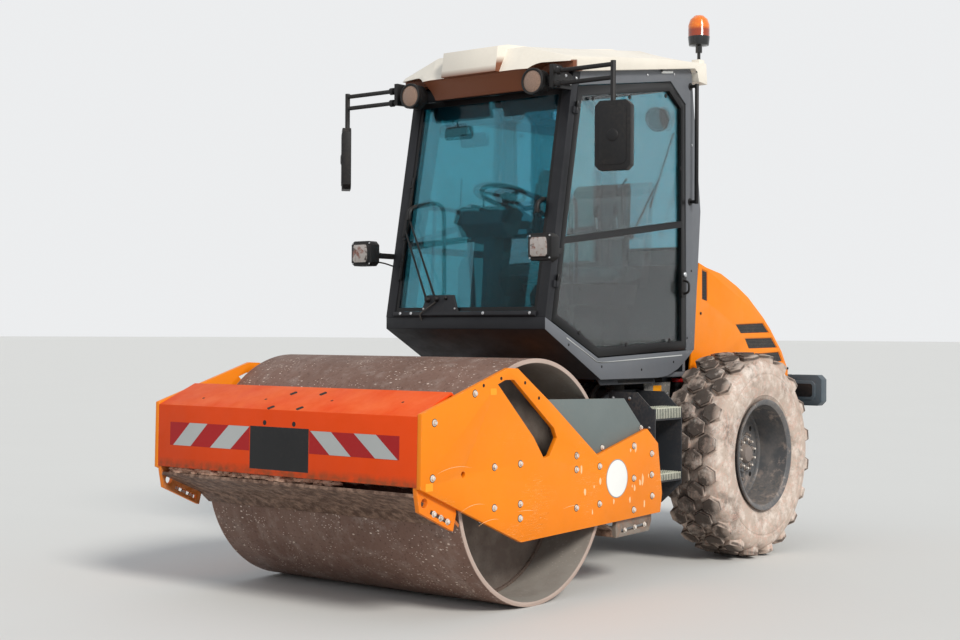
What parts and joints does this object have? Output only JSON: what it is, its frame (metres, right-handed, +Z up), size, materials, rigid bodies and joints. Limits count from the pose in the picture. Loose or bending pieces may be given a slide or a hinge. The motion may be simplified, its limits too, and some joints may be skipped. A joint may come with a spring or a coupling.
{
  "type": "articulated single-drum road roller",
  "caption": "Articulated road roller with one smooth steel drum in a plate frame, a glazed cab, an engine hood and two lugged tyres.",
  "frame": {"origin": "on the ground below the middle of the machine's box", "axes": "+X forward towards the drum, +Y to the machine's left, +Z up"},
  "size_m": [4.43, 2.06, 3.244],
  "materials": {
    "orange_paint": "satin, scuffed",
    "dark_paint": "satin, dusty",
    "cab_grey": "satin",
    "cab_dark": "satin",
    "cover_grey": "satin",
    "roof_white": "satin",
    "drum_steel": "worn and rusty",
    "steel": "machined",
    "chrome": "polished",
    "rubber": "matte",
    "tyre": "dusty",
    "rim_paint": "dusty",
    "glass": "tinted",
    "black_plastic": "matte",
    "black_tube": "satin",
    "lamp_beige": "ribbed lens",
    "amber": "clear amber",
    "seat_cloth": "woven",
    "engine_grey": "cast"
  },
  "bodies": {
    "rear_frame": {"rear_chassis": "dark_paint", "steering_fork": "dark_paint", "steering_pin": "steel", "rear_axle": "dark_paint", "engine_block": "engine_grey", "counterweight": "dark_paint", "rear_lamp_housings": "black_plastic", "steps": "dark_paint", "cab_mounts": "rubber", "cab_tub": "cab_grey", "cab_frame": "cab_dark", "cab_cowl": "cab_dark", "cab_roof": "roof_white", "windscreen": "glass", "rear_window": "glass", "seat": "seat_cloth", "steering_console": "black_plastic", "steering_wheel": "black_plastic", "headlamps": "black_plastic", "roof_lamps": "lamp_beige", "beacon": "amber", "mirrors": "black_plastic", "grab_handles": "black_tube"},
    "pivot": {"pivot_block": "dark_paint"},
    "front_frame": {"side_plate_left": "orange_paint", "side_plate_right": "orange_paint", "notch_covers": "cover_grey", "front_beam": "orange_paint", "rear_crossbeam": "dark_paint", "drum_carriers": "dark_paint", "rubber_buffers": "rubber", "scrapers": "dark_paint"},
    "drum": {"drum_shell": "drum_steel", "drum_heads": "drum_steel"},
    "wheel_left": {"tyre_left": "tyre", "rim_left": "rim_paint"},
    "wheel_right": {"tyre_right": "tyre", "rim_right": "rim_paint"},
    "door_left": {"door_left": "cab_dark", "door_glass_left": "glass"},
    "door_right": {"door_right": "cab_dark", "door_glass_right": "glass"},
    "engine_hood": {"hood": "orange_paint"},
    "cylinder_barrel": {"cylinder_barrel": "dark_paint"},
    "cylinder_rod": {"cylinder_rod": "chrome"}
  },
  "joints": [
    {"name": "steering", "type": "hinge", "parent": "rear_frame", "child": "pivot", "pos_m": [0.199, 0, 0.6], "axis": [0, 0, 1], "range_deg": [-32, 32]},
    {"name": "oscillation", "type": "hinge", "parent": "pivot", "child": "front_frame", "pos_m": [0.33, 0, 0.6], "axis": [-1, 0, 0], "range_deg": [-10, 10]},
    {"name": "drum_spin", "type": "hinge", "parent": "front_frame", "child": "drum", "pos_m": [1.299, 0, 0.6], "axis": [0, 1, 0], "continuous": true},
    {"name": "wheel_left_spin", "type": "hinge", "parent": "rear_frame", "child": "wheel_left", "pos_m": [-0.901, 0.7, 0.60883], "axis": [0, 1, 0], "continuous": true},
    {"name": "wheel_right_spin", "type": "hinge", "parent": "rear_frame", "child": "wheel_right", "pos_m": [-0.901, -0.7, 0.60883], "axis": [0, 1, 0], "continuous": true},
    {"name": "door_left_swing", "type": "hinge", "parent": "rear_frame", "child": "door_left", "pos_m": [0.7765, 0.565, 1.385], "axis": [0.1803, 0, -0.9836], "range_deg": [0, 85]},
    {"name": "door_right_swing", "type": "hinge", "parent": "rear_frame", "child": "door_right", "pos_m": [0.7765, -0.565, 1.385], "axis": [-0.1803, 0, 0.9836], "range_deg": [0, 85]},
    {"name": "hood_lift", "type": "hinge", "parent": "rear_frame", "child": "engine_hood", "pos_m": [-2.005, 0, 1.066], "axis": [0, -1, 0], "range_deg": [0, 60]},
    {"name": "barrel_swing", "type": "hinge", "parent": "rear_frame", "child": "cylinder_barrel", "pos_m": [-0.52, 0.235, 0.6], "axis": [0, 0, 1], "range_deg": [-5, 5]},
    {"name": "rod_slide", "type": "slide", "parent": "cylinder_barrel", "child": "cylinder_rod", "axis": [1, 0, 0], "range_m": [-0.132, 0.132]}
  ],
  "couplings": [
    {"joint": "barrel_swing", "follows": "steering", "ratio": -0.134},
    {"joint": "rod_slide", "follows": "steering", "m_per_rad": -0.235}
  ]
}
